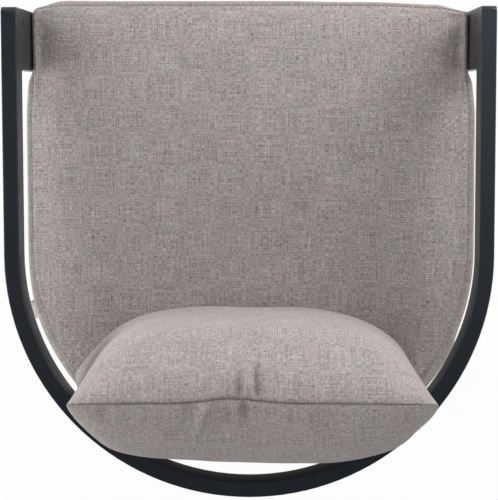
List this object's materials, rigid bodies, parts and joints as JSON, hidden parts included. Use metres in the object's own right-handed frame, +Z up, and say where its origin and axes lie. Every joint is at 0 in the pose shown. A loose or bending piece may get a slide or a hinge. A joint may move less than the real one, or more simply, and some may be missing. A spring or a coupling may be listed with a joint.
{
  "type": "rocking chair",
  "caption": "Rocking chair with a flat bent rail that forms arms and back, slatted seat, fitted seat cushion and loose back pillow.",
  "frame": {"origin": "on the floor, midway between the ends of the rockers and on the chair's middle plane", "axes": "+Z up; the chair faces -Y; +X is to the sitter's left"},
  "size_m": [0.7284, 0.765, 0.8756],
  "materials": {
    "black_wood": "satin",
    "bare_wood": "matte",
    "steel": "satin",
    "seat_fabric": "matte",
    "pillow_fabric": "matte",
    "foam": "matte",
    "fibre_fill": "matte",
    "zip_tape": "matte",
    "tie_tape": "matte"
  },
  "bodies": {
    "frame": {"arm_rail": "black_wood", "left_front_leg": "black_wood", "right_front_leg": "black_wood", "left_rear_leg": "black_wood", "right_rear_leg": "black_wood", "left_rocker": "black_wood", "right_rocker": "black_wood", "front_stretcher": "black_wood", "rear_stretcher": "black_wood", "seat_band": "black_wood", "front_seat_rail": "black_wood", "left_arm_tenon": "bare_wood", "right_arm_tenon": "bare_wood", "rear_leg_dowels": "bare_wood", "rocker_dowels": "bare_wood", "front_rail_dowels": "bare_wood", "seat_ledger": "bare_wood", "seat_slat_1": "bare_wood", "seat_slat_2": "bare_wood", "seat_slat_3": "bare_wood", "seat_slat_4": "bare_wood", "seat_slat_5": "bare_wood", "seat_slat_6": "bare_wood", "seat_slat_7": "bare_wood", "seat_slat_8": "bare_wood", "arm_bolts": "steel", "arm_bolt_nuts": "steel", "band_bolts": "steel", "band_bolt_nuts": "steel", "slat_screws": "steel"},
    "seat_cushion": {"cushion_cover": "seat_fabric", "cushion_foam": "foam", "cushion_zip": "zip_tape", "left_cushion_tie": "tie_tape", "right_cushion_tie": "tie_tape"},
    "back_pillow": {"pillow_cover": "pillow_fabric", "pillow_fill": "fibre_fill", "pillow_zip": "zip_tape"}
  },
  "joints": [
    {"name": "cushion_lift", "type": "slide", "parent": "frame", "child": "seat_cushion", "axis": [0, 0, 1], "range_m": [0, 0.25]},
    {"name": "pillow_lift", "type": "slide", "parent": "seat_cushion", "child": "back_pillow", "axis": [0, 0, 1], "range_m": [0, 0.25]}
  ]
}
